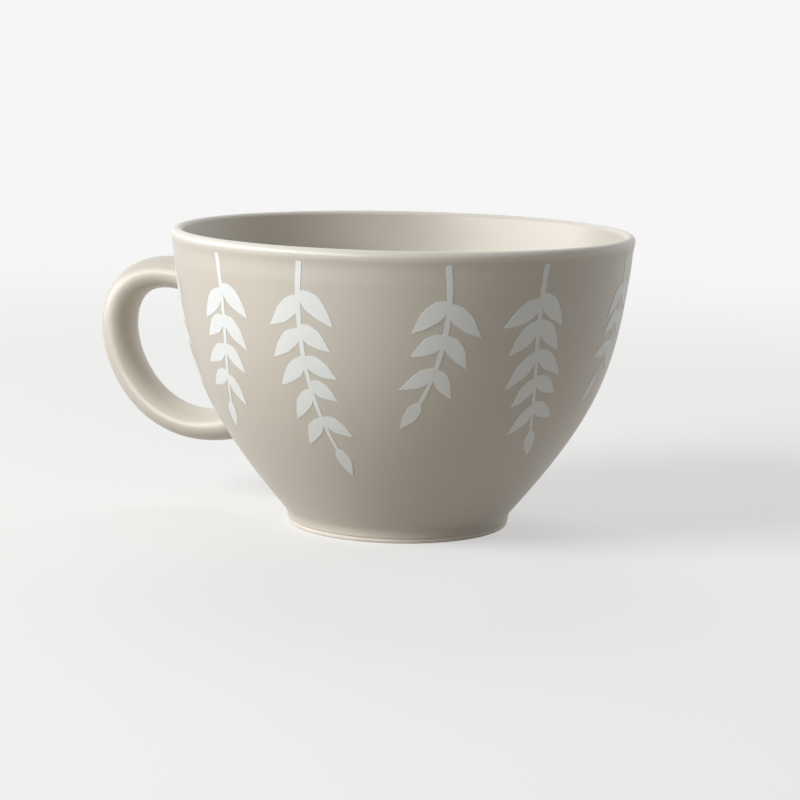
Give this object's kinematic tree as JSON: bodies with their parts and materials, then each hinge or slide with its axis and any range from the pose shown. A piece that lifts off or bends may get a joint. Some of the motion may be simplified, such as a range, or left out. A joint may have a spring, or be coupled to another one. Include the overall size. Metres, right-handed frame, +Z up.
{
  "type": "mug",
  "caption": "Wide bowl-shaped porcelain mug with a rounded lip, a low foot ring and a loop handle, satin glazed inside and out, with white sprigs of paired leaves printed on the outside.",
  "frame": {"origin": "on the cup's axis, in the plane that the foot ring stands on; the flat underside inside the ring lies 0.9 mm above it", "axes": "+Z up along the cup's axis, handle along -X, +Y completes the right-handed frame"},
  "size_m": [0.1456, 0.1184, 0.076],
  "materials": {
    "porcelain": "bare fired porcelain, matt",
    "slip": "fired casting slip, matt",
    "satin_glaze": "satin warm grey glaze",
    "white_print": "white ceramic transfer, satin"
  },
  "bodies": {
    "root": {"cup_body": "porcelain", "handle": "porcelain", "upper_handle_joint": "slip", "lower_handle_joint": "slip", "inside_glaze": "satin_glaze", "outside_glaze": "satin_glaze", "handle_glaze": "satin_glaze", "underside_glaze": "satin_glaze", "print_sprig_1": "white_print", "print_sprig_2": "white_print", "print_sprig_3": "white_print", "print_sprig_4": "white_print", "print_sprig_5": "white_print", "print_sprig_6": "white_print", "print_sprig_7": "white_print", "print_sprig_8": "white_print", "print_sprig_9": "white_print", "print_sprig_10": "white_print", "print_sprig_11": "white_print"}
  },
  "joints": []
}
